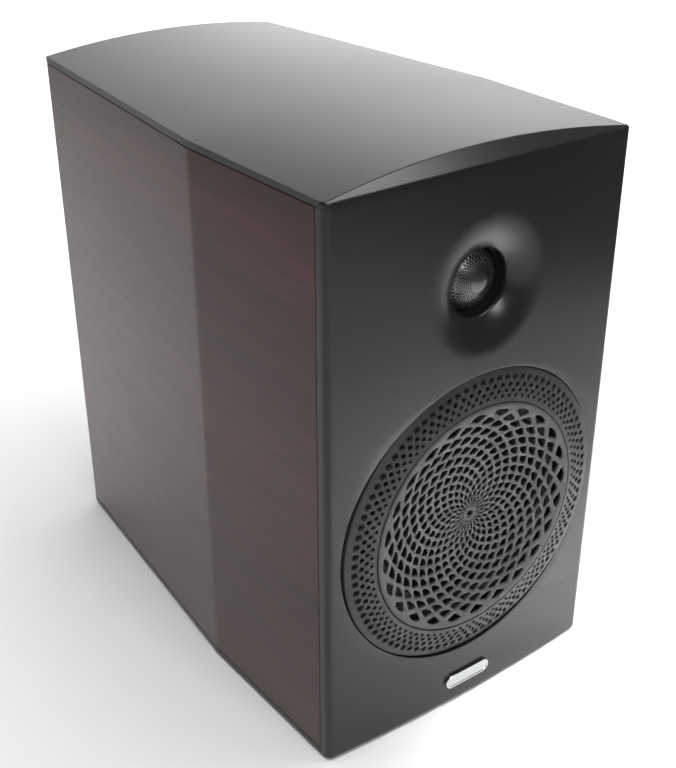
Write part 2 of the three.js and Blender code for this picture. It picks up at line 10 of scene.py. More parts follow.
import bmesh
import bpy
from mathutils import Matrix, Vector


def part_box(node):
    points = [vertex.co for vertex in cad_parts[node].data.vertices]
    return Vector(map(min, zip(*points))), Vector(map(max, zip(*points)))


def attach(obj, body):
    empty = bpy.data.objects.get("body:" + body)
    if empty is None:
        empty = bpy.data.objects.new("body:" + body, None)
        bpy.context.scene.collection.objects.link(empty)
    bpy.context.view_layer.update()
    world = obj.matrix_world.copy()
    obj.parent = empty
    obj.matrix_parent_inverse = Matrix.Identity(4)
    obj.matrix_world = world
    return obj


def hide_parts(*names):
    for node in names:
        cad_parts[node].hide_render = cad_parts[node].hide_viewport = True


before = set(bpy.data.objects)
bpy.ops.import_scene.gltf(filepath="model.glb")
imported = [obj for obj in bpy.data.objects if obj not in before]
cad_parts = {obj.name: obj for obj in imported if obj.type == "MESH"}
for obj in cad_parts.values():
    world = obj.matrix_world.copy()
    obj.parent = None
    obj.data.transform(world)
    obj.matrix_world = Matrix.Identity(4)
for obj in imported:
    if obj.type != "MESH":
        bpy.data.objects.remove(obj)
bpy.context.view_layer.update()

# ---- Places taken from the frame ----

MM = 0.001
BOW = 4.1  # how far the middle of the front stands forward of its corners
CORNER_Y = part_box("front_fascia")[0].y + BOW * MM
BASE_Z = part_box("front_fascia")[0].z


def millimetres(length):
    return length / MM


def depth_of(y):
    return millimetres(y - CORNER_Y)


def height_of(z):
    return millimetres(z - BASE_Z)


def place(x, depth, height):
    """A point of the cabinet's drawing, in the frame."""
    return Vector((x * MM, CORNER_Y + depth * MM, BASE_Z + height * MM))


def middle(node):
    low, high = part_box(node)
    return (low + high) / 2


def axis_of(node):
    """Where the axis of a turned node stands in the drawing: (x, height)."""
    centre = middle(node)
    return millimetres(centre.x), height_of(centre.z)


def radius_of(node):
    low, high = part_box(node)
    return millimetres(high.x - low.x) / 2


def depths_of(node):
    """The depths of a node's near and far ends."""
    low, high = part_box(node)
    return depth_of(low.y), depth_of(high.y)


FRONT_HALF = millimetres(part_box("front_fascia")[1].x)
FOLD_HALF = millimetres(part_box("right_side_panel")[1].x)
SIDE_FRONT, CABINET_DEPTH = depths_of("right_side_panel")
SIDE_BOTTOM = height_of(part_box("right_side_panel")[0].z)
SIDE_TOP = height_of(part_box("right_side_panel")[1].z)
FASCIA_BACK = depths_of("front_fascia")[1]
WOOFER_X, WOOFER_HEIGHT = axis_of("woofer_trim_ring")
RING_RADIUS = radius_of("woofer_trim_ring")
RING_CREST, RING_BACK = depths_of("woofer_trim_ring")
LENS_RADIUS = radius_of("woofer_lens")
LENS_FRONT = depths_of("woofer_lens")[0]
TWEETER_X, TWEETER_HEIGHT = axis_of("tweeter_mesh_guard")
GUARD_RADIUS = radius_of("tweeter_mesh_guard")
GUARD_FRONT, GUARD_BACK = depths_of("tweeter_mesh_guard")

# ---- The cabinet's remaining dimensions, in millimetres ----

GAP = 0.3  # clearance between neighbouring pieces
WALL = 16  # thickness of a side board
REAR_HALF = 83.1  # half the width at the rear
FOLD_DEPTH = 114.5  # where each side folds inward
CORNER_RADIUS = 3.5  # rounding of the front's upright edges
FRONT_HEIGHT = 328.8  # side edge of the top at the front corners
FOLD_HEIGHT = 329.6  # the same edge from the fold to the rear
FRONT_CROWN = 7.2  # rise of the top's middle over its side edges
REAR_CROWN = 6.2
BEVEL_START = 0.8  # depth of the front's upper bevel at the corners
BEVEL_GROWTH = 10.1  # how much deeper it is in the middle
BEVEL_DROP = 0.8  # how far its foot lies under the top's side edge
BROW_RISE = 2  # how far its foot rises towards the middle
GUIDE_RADIUS = 40.5  # rim of the tweeter's waveguide
THROAT_RADIUS = 18.2  # its opening
THROAT_DEPTH = 3.5


def arch(across):
    """1 in the middle of the width, 0 at either side."""
    return 1 - across * across


def half_width(depth):
    """Half the cabinet's width over the side panels."""
    if depth < FOLD_DEPTH:
        return FRONT_HALF + (FOLD_HALF - FRONT_HALF) * depth / FOLD_DEPTH
    share = (depth - FOLD_DEPTH) / (CABINET_DEPTH - FOLD_DEPTH)
    return FOLD_HALF + (REAR_HALF - FOLD_HALF) * share


def top_height(depth, across):
    """Height of the crowned top, where across runs from -1 at the left edge to 1 at the right."""
    edge = FRONT_HEIGHT + (FOLD_HEIGHT - FRONT_HEIGHT) * min(depth / FOLD_DEPTH, 1)
    crown = FRONT_CROWN + (REAR_CROWN - FRONT_CROWN) * depth / CABINET_DEPTH
    return edge + crown * arch(across)


def face_depth(x):
    """Depth of the bowed front."""
    return -BOW * arch(x / FRONT_HALF)


def between(low, high, steps):
    """Evenly spaced values from low to high, both included."""
    return [low + (high - low) * k / steps for k in range(steps + 1)]


def curve_through(first, control, last, steps=4):
    """Points on a quadratic curve, both ends included."""
    points = []
    for t in between(0, 1, steps):
        weights = ((1 - t) ** 2, 2 * t * (1 - t), t * t)
        points.append(tuple(
            sum(w * p[axis] for w, p in zip(weights, (first, control, last)))
            for axis in range(len(first))
        ))
    return points


# ---- Mesh helpers ----


class Skin:
    """The points and faces of one mesh."""

    def __init__(self):
        self.points = []
        self.faces = []

    def row(self, points):
        """Adds points and returns their indices."""
        start = len(self.points)
        self.points.extend(points)
        return list(range(start, len(self.points)))

    def strip(self, first, second, closed=False):
        """Adds quads between two rows of the same length."""
        count = len(first)
        for k in range(count if closed else count - 1):
            after = (k + 1) % count
            self.faces.append((first[k], first[after], second[after], second[k]))

    def sheet(self, rows, closed=False):
        for first, second in zip(rows, rows[1:]):
            self.strip(first, second, closed)

    def loft(self, loops, closed=True):
        """Adds rows of points with a sheet through them, and returns the rows."""
        rows = [self.row(loop) for loop in loops]
        self.sheet(rows, closed)
        return rows

    def cap(self, row):
        self.faces.append(tuple(row))


WELD = 2e-6  # points nearer than this many metres become one
SLIVER = 1e-6  # edges shorter than this many metres are dissolved


def made(name, skin, material, node, body="root", sharp=35):
    """One finished piece that stands for a CAD node: welded, facing outward, smooth up to an angle."""
    data = bpy.data.meshes.new(name)
    data.from_pydata(skin.points, [], skin.faces)
    work = bmesh.new()
    work.from_mesh(data)
    bmesh.ops.remove_doubles(work, verts=work.verts, dist=WELD)
    bmesh.ops.dissolve_degenerate(work, edges=work.edges, dist=SLIVER)
    bmesh.ops.recalc_face_normals(work, faces=work.faces)
    work.to_mesh(data)
    work.free()
    data.shade_smooth()
    data.set_sharp_from_angle(angle=math.radians(sharp))
    data.materials.append(material)
    piece = bpy.data.objects.new(name, data)
    bpy.context.scene.collection.objects.link(piece)
    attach(piece, body)
    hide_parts(node)
    return piece


def soften(piece, width, segments=3, angle=40):
    """Rounds a piece's edges by a width in millimetres and keeps its flat faces flat."""
    bevel = piece.modifiers.new("edges", "BEVEL")
    bevel.width = width * MM
    bevel.segments = segments
    bevel.limit_method = "ANGLE"
    bevel.angle_limit = math.radians(angle)
    piece.modifiers.new("normals", "WEIGHTED_NORMAL")


def turns(count):
    """Evenly spaced angles round a circle, from 0."""
    return [2 * math.pi * k / count for k in range(count)]


def on_circle(axis, angle, radius, depth):
    """A point round an (x, height) axis, its angle clockwise from the top as seen from the front."""
    x, height = axis
    return place(x + radius * math.sin(angle), depth, height + radius * math.cos(angle))


def turned(outline, axis, count=96):
    """Revolves (radius, depth) points about the depth axis. Off the axis, the outline closes on itself."""
    skin = Skin()
    rows = skin.loft(
        [on_circle(axis, angle, radius, depth) for angle in turns(count)] for radius, depth in outline
    )
    if outline[0][0] > 0 and outline[-1][0] > 0:
        skin.strip(rows[-1], rows[0], closed=True)
    return skin


# ---- Material helpers ----


NOISE_LOW, NOISE_HIGH = 0.3, 0.7  # nearly all values of a noise lie between these
COLOUR_A, COLOUR_B, MIXED_COLOUR = 6, 7, 2  # a Mix node's colour sockets, whose names it uses four times


class Nodes:
    """A short way to build one node material, its patterns placed in the object's own metres."""

    def __init__(self, name, **shader):
        self.material = bpy.data.materials.new(name)
        self.material.use_nodes = True
        self.tree = self.material.node_tree
        self.shader = self.tree.nodes["Principled BSDF"]
        for socket, value in shader.items():
            self.shader.inputs[socket.replace("_", " ")].default_value = value
        self.place = self.add("ShaderNodeTexCoord").outputs["Object"]

    def add(self, kind, **settings):
        node = self.tree.nodes.new(kind)
        for setting, value in settings.items():
            setattr(node, setting, value)
        return node

    def link(self, output, target):
        self.tree.links.new(output, target)

    def stretched(self, scale):
        mapping = self.add("ShaderNodeMapping")
        mapping.inputs["Scale"].default_value = scale
        self.link(self.place, mapping.inputs["Vector"])
        return mapping.outputs["Vector"]

    def noise(self, scale, detail=3.0, roughness=0.5, vector=None, distortion=0.0):
        node = self.add("ShaderNodeTexNoise")
        node.inputs["Scale"].default_value = scale
        node.inputs["Detail"].default_value = detail
        node.inputs["Roughness"].default_value = roughness
        node.inputs["Distortion"].default_value = distortion
        self.link(vector or self.place, node.inputs["Vector"])
        return node.outputs["Fac"]

    def ramp(self, value, stops):
        node = self.add("ShaderNodeValToRGB")
        elements = node.color_ramp.elements
        while len(elements) < len(stops):
            elements.new(0.5)
        for element, (position, colour) in zip(elements, stops):
            element.position = position
            element.color = (*colour, 1)
        self.link(value, node.inputs["Fac"])
        return node.outputs["Color"]

    def bands(self, direction, scale):
        """Parallel bands, one after the other along an axis."""
        node = self.add("ShaderNodeTexWave", wave_type="BANDS", bands_direction=direction)
        node.inputs["Scale"].default_value = scale
        self.link(self.place, node.inputs["Vector"])
        return node.outputs["Fac"]

    def multiplied(self, base, tint, factor):
        node = self.add("ShaderNodeMix", data_type="RGBA", blend_type="MULTIPLY")
        node.inputs["Factor"].default_value = factor
        self.link(base, node.inputs[COLOUR_A])
        self.link(tint, node.inputs[COLOUR_B])
        return node.outputs[MIXED_COLOUR]

    def colour(self, output):
        self.link(output, self.shader.inputs["Base Color"])

    def roughness(self, noise, low, high):
        """Roughness that follows a noise from low to high."""
        node = self.add("ShaderNodeMapRange")
        node.inputs["From Min"].default_value = NOISE_LOW
        node.inputs["From Max"].default_value = NOISE_HIGH
        node.inputs["To Min"].default_value = low
        node.inputs["To Max"].default_value = high
        self.link(noise, node.inputs["Value"])
        self.link(node.outputs["Result"], self.shader.inputs["Roughness"])

    def bump(self, value, height):
        """Adds relief of a real height in millimetres to any that is there already."""
        node = self.add("ShaderNodeBump")
        node.inputs["Distance"].default_value = height * MM
        self.link(value, node.inputs["Height"])
        if self.shader.inputs["Normal"].is_linked:
            self.link(self.shader.inputs["Normal"].links[0].from_socket, node.inputs["Normal"])
        self.link(node.outputs["Normal"], self.shader.inputs["Normal"])


def two_tone(nodes, dark, light, scale, detail=4.0, vector=None):
    """Colour that drifts between two close tones. Returns the noise it drifts with."""
    drift = nodes.noise(scale, detail, vector=vector)
    nodes.colour(nodes.ramp(drift, [(NOISE_LOW, dark), (NOISE_HIGH, light)]))
    return drift


# ---- Materials ----


def satin_lacquer():
    """Satin black lacquer over fibreboard, a little uneven in its sheen."""
    nodes = Nodes("satin_lacquer", Specular_IOR_Level=0.5, IOR=1.5)
    drift = two_tone(nodes, (0.0065, 0.007, 0.0072), (0.0085, 0.009, 0.0092), scale=7, detail=0)
    nodes.roughness(drift, 0.25, 0.28)
    return nodes.material


def gloss_veneer():
    """Dark rosewood veneer under gloss lacquer, its grain along the depth of the cabinet."""
    nodes = Nodes("gloss_veneer", Coat_Weight=0.92, Coat_Roughness=0.07, Coat_IOR=1.32,
                  Specular_IOR_Level=0.05)
    flame = nodes.noise(3.2, 3, 0.55, nodes.stretched((1, 0.55, 3.6)), distortion=0.8)
    streak = nodes.noise(9, 6, 0.62, nodes.stretched((2, 0.9, 16)), distortion=0.5)
    pores = nodes.noise(60, 4, 0.7, nodes.stretched((3, 1, 22)))
    wood = nodes.ramp(flame, [(0.32, (0.030, 0.0080, 0.0095)), (0.5, (0.046, 0.0115, 0.0125)),
                              (0.68, (0.074, 0.0190, 0.0190))])
    grain = nodes.ramp(streak, [(0.38, (0.62, 0.6, 0.6)), (0.62, (1.22, 1.1, 1.08))])
    nodes.colour(nodes.multiplied(wood, grain, 0.6))
    nodes.roughness(pores, 0.3, 0.42)
    nodes.bump(pores, 0.001)
    return nodes.material


def grained_moulding(name, dark, light, rough):
    """Fine spark-eroded grain of a moulded black or grey plastic part."""
    nodes = Nodes(name, IOR=1.48)
    drift = two_tone(nodes, dark, light, 35)
    nodes.roughness(drift, rough - 0.03, rough + 0.04)
    nodes.bump(nodes.noise(1500, 2.0, 0.6), 0.012)
    return nodes.material


def metal(name, dark, light, rough, grain=0.004, scale=700):
    """Bare, plated or painted metal with a fine surface grain of a height in millimetres."""
    nodes = Nodes(name, Metallic=1.0)
    drift = two_tone(nodes, dark, light, 40)
    nodes.roughness(drift, rough * 0.85, rough * 1.2)
    nodes.bump(nodes.noise(scale, 3.0), grain)
    return nodes.material


def matt(name, dark, light, rough, scale, relief, vector_scale=(1, 1, 1), shine=0.5):
    """A dull, slightly uneven surface such as rubber, paper, board or felt."""
    nodes = Nodes(name, Specular_IOR_Level=shine)
    vector = nodes.stretched(vector_scale)
    drift = two_tone(nodes, dark, light, scale, 5.0, vector)
    nodes.roughness(drift, rough - 0.05, min(rough + 0.05, 1.0))
    nodes.bump(nodes.noise(scale * 12, 4.0, 0.6, vector), relief)
    return nodes.material


def pleated_cloth():
    """Resin-dipped woven cloth: two crossing sets of threads."""
    nodes = Nodes("amber_cloth", Sheen_Weight=0.25)
    drift = two_tone(nodes, (0.33, 0.19, 0.06), (0.46, 0.29, 0.11), 60)
    nodes.roughness(drift, 0.6, 0.8)
    for direction in ("X", "Z"):
        nodes.bump(nodes.bands(direction, 420), 0.08)
    return nodes.material


def wound_wire():
    """Enamelled copper wire in turns round the depth axis."""
    nodes = Nodes("wound_copper", Metallic=1.0, Coat_Weight=0.6, Coat_Roughness=0.15)
    drift = two_tone(nodes, (0.42, 0.15, 0.05), (0.62, 0.26, 0.1), 90)
    nodes.roughness(drift, 0.22, 0.36)
    nodes.bump(nodes.bands("Y", 500), 0.12)
    return nodes.material


LACQUER = satin_lacquer()
VENEER = gloss_veneer()
RING_PLASTIC = grained_moulding("ring_moulding", (0.020, 0.021, 0.022), (0.026, 0.027, 0.028), 0.4)
LENS_PLASTIC = grained_moulding("lens_moulding", (0.034, 0.035, 0.036), (0.042, 0.043, 0.044), 0.42)
REAR_PLASTIC = grained_moulding("rear_moulding", (0.012, 0.012, 0.013), (0.018, 0.018, 0.019), 0.4)
CHROME = metal("polished_plate", (0.78, 0.79, 0.8), (0.86, 0.87, 0.88), 0.1, 0.001)
GUARD_METAL = metal("guard_metal", (0.13, 0.13, 0.135), (0.18, 0.18, 0.185), 0.24, 0.002)
DOME_METAL = metal("dome_metal", (0.2, 0.2, 0.21), (0.27, 0.27, 0.28), 0.25, 0.001)
CAST_METAL = metal("painted_casting", (0.02, 0.021, 0.023), (0.03, 0.031, 0.034), 0.5, 0.02, 900)
PLATED_STEEL = metal("plated_steel", (0.5, 0.51, 0.53), (0.62, 0.63, 0.65), 0.28)
DARK_STEEL = metal("black_steel", (0.03, 0.03, 0.032), (0.045, 0.045, 0.048), 0.33)
GOLD = metal("gold_plate", (0.72, 0.45, 0.14), (0.85, 0.56, 0.2), 0.16, 0.001)
FERRITE = matt("ferrite", (0.02, 0.019, 0.018), (0.04, 0.038, 0.036), 0.72, 90, 0.03)
RUBBER = matt("rubber", (0.008, 0.008, 0.008), (0.013, 0.013, 0.013), 0.62, 140, 0.01)
CONE_FACE = matt("cone_poly", (0.004, 0.004, 0.0045), (0.008, 0.008, 0.0085), 0.75, 160, 0.02,
                 shine=0.12)
RAW_BOARD = matt("fibreboard", (0.26, 0.17, 0.1), (0.34, 0.24, 0.15), 0.85, 180, 0.05)
WADDING = matt("wadding", (0.62, 0.6, 0.56), (0.78, 0.76, 0.72), 0.95, 60, 1.2)
REAR_FILM = matt("rear_film", (0.010, 0.010, 0.011), (0.015, 0.015, 0.016), 0.48, 240, 0.03)
CIRCUIT = matt("circuit_board", (0.008, 0.07, 0.03), (0.013, 0.1, 0.045), 0.45, 120, 0.01)
FILM_CAN = matt("film_can", (0.62, 0.52, 0.3), (0.7, 0.62, 0.4), 0.4, 80, 0.01)
LEAD_RED = matt("lead_jacket", (0.35, 0.015, 0.015), (0.45, 0.03, 0.03), 0.4, 100, 0.01)
CAP_BLACK = grained_moulding("cap_black", (0.008, 0.008, 0.008), (0.013, 0.013, 0.013), 0.28)
CAP_RED = grained_moulding("cap_red", (0.32, 0.008, 0.008), (0.42, 0.014, 0.012), 0.26)
AMBER_CLOTH = pleated_cloth()
COPPER = wound_wire()

# ---- Front fascia ----

BLOCK_STEP = 3.0  # spacing of the grid lines that the openings' blocks share
WOOFER_BLOCK = 31 * BLOCK_STEP  # half the side of the square patch around each opening
TWEETER_BLOCK = 14 * BLOCK_STEP
LOWEST_ROW = 4  # the grid's lowest line, above the rounded bottom edge
BOTTOM_ROUND = 0.7
BEVEL_FOOT_ROUND = 1.1  # where the face turns into the bevel
BEVEL_CREST_ROUND = 0.4
OPENING_RADIUS = RING_RADIUS + 0.5
OPENING_ROUND = 0.5
DISH_POWER = 2.2  # how late the waveguide's slope grows on the way to the throat
LIP_ROUND = 1.3  # rounding between the dish and the throat's wall, seen from the front
LIP_DROP = 0.9
TOLERANCE = 0.01


def front_stations():
    """(x, depth of the face, depth of the bevel's crest) across the front, rounded corners included."""
    straight = FRONT_HALF - CORNER_RADIUS
    stations = [(x, face_depth(x)) for x in (-straight, *block_lines(0, WOOFER_BLOCK), straight)]
    for angle in between(0, math.pi / 2, 6)[1:]:
        x = straight + CORNER_RADIUS * math.sin(angle)
        depth = face_depth(straight) + CORNER_RADIUS * (1 - math.cos(angle))
        stations.append((x, depth))
        stations.insert(0, (-x, depth))
    return [(x, depth, depth + BEVEL_START + BEVEL_GROWTH * arch(x / FRONT_HALF)) for x, depth in stations]


def block_lines(middle_line, half):
    """The grid lines across a square block."""
    return between(middle_line - half, middle_line + half, round(2 * half / BLOCK_STEP))


def front_rows():
    """Heights of the grid lines that front and back share, from the lowest up."""
    woofer = block_lines(WOOFER_HEIGHT, WOOFER_BLOCK)
    tweeter = block_lines(TWEETER_HEIGHT, TWEETER_BLOCK)
    return [*between(LOWEST_ROW, woofer[0], 5)[:-1], *woofer, *tweeter]


def bevel_points(x, depth, crest):
    """The front's upper edge at one station: up the bevel and over its crest, as (depth, height)."""
    across = x / FRONT_HALF
    foot = (depth, FRONT_HEIGHT - BEVEL_DROP + BROW_RISE * arch(across))
    head = (crest, top_height(crest, across))
    slope = Vector((head[0] - foot[0], head[1] - foot[1]))
    soft = min(BEVEL_FOOT_ROUND, slope.length * 0.3)
    crisp = min(BEVEL_CREST_ROUND, slope.length * 0.2)
    along = slope.normalized()
    lower = curve_through((depth, foot[1] - soft), foot, tuple(Vector(foot) + along * soft))
    upper = curve_through(tuple(Vector(head) - along * crisp), head, (crest, head[1] - crisp))
    return [*lower, *upper]


def fascia_section(x, depth, crest, rows):
    """One closed section of the fascia, as (depth, height) points from the bottom of the front."""
    bottom = curve_through((depth + BOTTOM_ROUND, 0), (depth, 0), (depth, BOTTOM_ROUND))
    bevel = bevel_points(x, depth, crest)
    rise = [(depth, height) for height in between(rows[-1], bevel[0][1], 5)[1:-1]]
    front = [*bottom, *((depth, height) for height in rows), *rise, *bevel]
    back = [(crest, SIDE_TOP), (FASCIA_BACK, SIDE_TOP)]
    back += [(FASCIA_BACK, height) for height in reversed(rows)]
    return [*front, *back, (FASCIA_BACK, 0)]


def square_outline(height, half):
    """Grid points round a square block, clockwise from the middle of its upper side."""
    side = block_lines(0, half)
    up = [(x, height + half) for x in side]
    right = [(half, height + half - (x + half)) for x in side]
    down = [(-x, height - half) for x in side]
    left = [(-half, height - half + (x + half)) for x in side]
    loop = [*up[:-1], *right[:-1], *down[:-1], *left[:-1]]
    start = len(side) // 2
    return [*loop[start:], *loop[:start]]


def round_block(skin, height, half, radius, depth_at, profile):
    """Fills a square block of the face around a circle, then follows profile inward.

    depth_at(x) is the face's own depth. profile is a list of functions that give the next
    (radius, depth) point in a direction.
    """
    outline = square_outline(height, half)
    directions = [Vector((x, z - height)).normalized() for x, z in outline]
    loops = []
    for share in between(0, 1, 5):
        loop = []
        for (x, z), direction in zip(outline, directions):
            at = Vector((x, z - height)).lerp(direction * radius, share)
            loop.append(place(at.x, depth_at(at.x), height + at.y))
        loops.append(loop)
    for point in profile:
        loop = []
        for direction in directions:
            reach, depth = point(direction)
            loop.append(place(direction.x * reach, depth, height + direction.y * reach))
        loops.append(loop)
    skin.loft(loops)


def fixed(radius, depth):
    """A point that is the same in every direction."""
    return lambda direction: (radius, depth)


def woofer_rim(radius, drop):
    """A point on the rounded edge of the woofer opening, set back from the bowed face."""
    return lambda direction: (radius, face_depth(direction.x * radius) + drop)


def dish(radius):
    """A point of the waveguide: tangent to the face at its rim, steepest at the throat."""
    out = (radius - THROAT_RADIUS) / (GUIDE_RADIUS - THROAT_RADIUS)
    fall = (1 - out) ** DISH_POWER

    def at(direction):
        face = face_depth(direction.x * radius)
        return radius, face + (THROAT_DEPTH - face) * fall

    return at


def back_face(x):
    """Depth of the fascia's flat back."""
    return FASCIA_BACK


def in_block(sides, ends):
    """Whether a quad between two stations lies in the square patch around either opening."""
    if ends[0][0] != ends[1][0]:
        return False
    for height, half in ((WOOFER_HEIGHT, WOOFER_BLOCK), (TWEETER_HEIGHT, TWEETER_BLOCK)):
        reach = [abs(x) for x in sides] + [abs(end[1] - height) for end in ends]
        if max(reach) <= half + TOLERANCE:
            return True
    return False


def fascia_shell(skin):
    """The fascia's outside and back, but for the square patches around its openings."""
    rows = front_rows()
    stations = front_stations()
    sections = [fascia_section(x, depth, crest, rows) for x, depth, crest in stations]
    loops = []
    for (x, _, _), section in zip(stations, sections):
        loops.append(skin.row([place(x, depth, height) for depth, height in section]))
    count = len(sections[0])
    for column in range(len(stations) - 1):
        sides = (stations[column][0], stations[column + 1][0])
        first, second = loops[column], loops[column + 1]
        for k in range(count):
            after = (k + 1) % count
            if not in_block(sides, (sections[column][k], sections[column][after])):
                skin.faces.append((first[k], first[after], second[after], second[k]))
    skin.cap(loops[0])
    skin.cap(loops[-1])


def woofer_opening(skin):
    """The round opening for the trim ring, its front edge slightly rounded."""
    rim = OPENING_RADIUS
    edge = [woofer_rim(rim + 0.25, 0.06), woofer_rim(rim + 0.08, 0.22), woofer_rim(rim, OPENING_ROUND)]
    edge.append(fixed(rim, FASCIA_BACK))
    round_block(skin, WOOFER_HEIGHT, WOOFER_BLOCK, rim + OPENING_ROUND, face_depth, edge)
    round_block(skin, WOOFER_HEIGHT, WOOFER_BLOCK, rim, back_face, [])


def tweeter_waveguide(skin):
    """The dish around the tweeter, its lip rolled over into the throat's wall."""
    radii = between(GUIDE_RADIUS, THROAT_RADIUS + LIP_ROUND, 22)
    lip_start = dish(radii[-1])(Vector((0, 1)))
    lip_end = (THROAT_RADIUS, THROAT_DEPTH + 1.6)
    lip = curve_through(lip_start, (THROAT_RADIUS, lip_start[1] + LIP_DROP), lip_end, 5)
    inward = [dish(radius) for radius in radii[1:]]
    inward += [fixed(radius, depth) for radius, depth in lip[1:]]
    inward.append(fixed(THROAT_RADIUS, FASCIA_BACK))
    round_block(skin, TWEETER_HEIGHT, TWEETER_BLOCK, GUIDE_RADIUS, face_depth, inward)
    round_block(skin, TWEETER_HEIGHT, TWEETER_BLOCK, THROAT_RADIUS, back_face, [])


def front_fascia():
    """The bowed front with its bevelled brow, the woofer's opening and the tweeter's dish."""
    skin = Skin()
    fascia_shell(skin)
    woofer_opening(skin)
    tweeter_waveguide(skin)
    made("fascia_moulding", skin, LACQUER, "front_fascia")


# ---- Cabinet boards ----


def top_column(x, crest):
    """(x, depth) points along the top behind one station of the front, as it widens and then narrows."""
    across = x / FRONT_HALF
    start = crest + GAP
    points = []
    for share in between(0, 1, 8):
        points.append((x + (across * FOLD_HALF - x) * share, start + (FOLD_DEPTH - start) * share))
    for depth in between(FOLD_DEPTH, CABINET_DEPTH, 14)[1:]:
        points.append((across * half_width(depth), depth))
    return points


def top_board():
    """The crowned top: a fine grid above, the same grid flat below, joined round the edge."""
    skin = Skin()
    underside = SIDE_TOP + GAP
    upper, lower = [], []
    for x, _, crest in front_stations():
        across = x / FRONT_HALF
        points = top_column(x, crest)
        upper.append(skin.row([place(px, depth, top_height(depth, across)) for px, depth in points]))
        lower.append(skin.row([place(px, depth, underside) for px, depth in points]))
    skin.sheet(upper)
    skin.sheet(lower)
    skin.strip(upper[0], lower[0])
    skin.strip(upper[-1], lower[-1])
    for end in (0, -1):
        skin.strip([row[end] for row in upper], [row[end] for row in lower])
    board = made("top_cap", skin, LACQUER, "top_panel")
    soften(board, 0.55, angle=50)


def side_outline(side):
    """The panel seen from above, its outer face folded over a short arc."""
    fold = 2.5
    before = (half_width(FOLD_DEPTH - fold), FOLD_DEPTH - fold)
    after = (half_width(FOLD_DEPTH + fold), FOLD_DEPTH + fold)
    outer = [(half_width(SIDE_FRONT), SIDE_FRONT)]
    outer += curve_through(before, (FOLD_HALF, FOLD_DEPTH), after)
    outer.append((REAR_HALF, CABINET_DEPTH))
    inner = [(x - WALL, depth) for x, depth in reversed(outer)]
    return [(side * x, depth) for x, depth in (*outer, *inner)]


def side_board(side, word):
    """One veneered side panel, where side is -1 for the left and 1 for the right."""
    skin = Skin()
    outline = side_outline(side)
    lower = skin.row([place(x, depth, SIDE_BOTTOM) for x, depth in outline])
    upper = skin.row([place(x, depth, SIDE_TOP) for x, depth in outline])
    skin.strip(lower, upper, closed=True)
    skin.cap(lower)
    skin.cap(upper)
    board = made(f"{word}_side_veneered", skin, VENEER, f"{word}_side_panel", sharp=20)
    soften(board, 0.5)


# ---- Perforated pieces ----


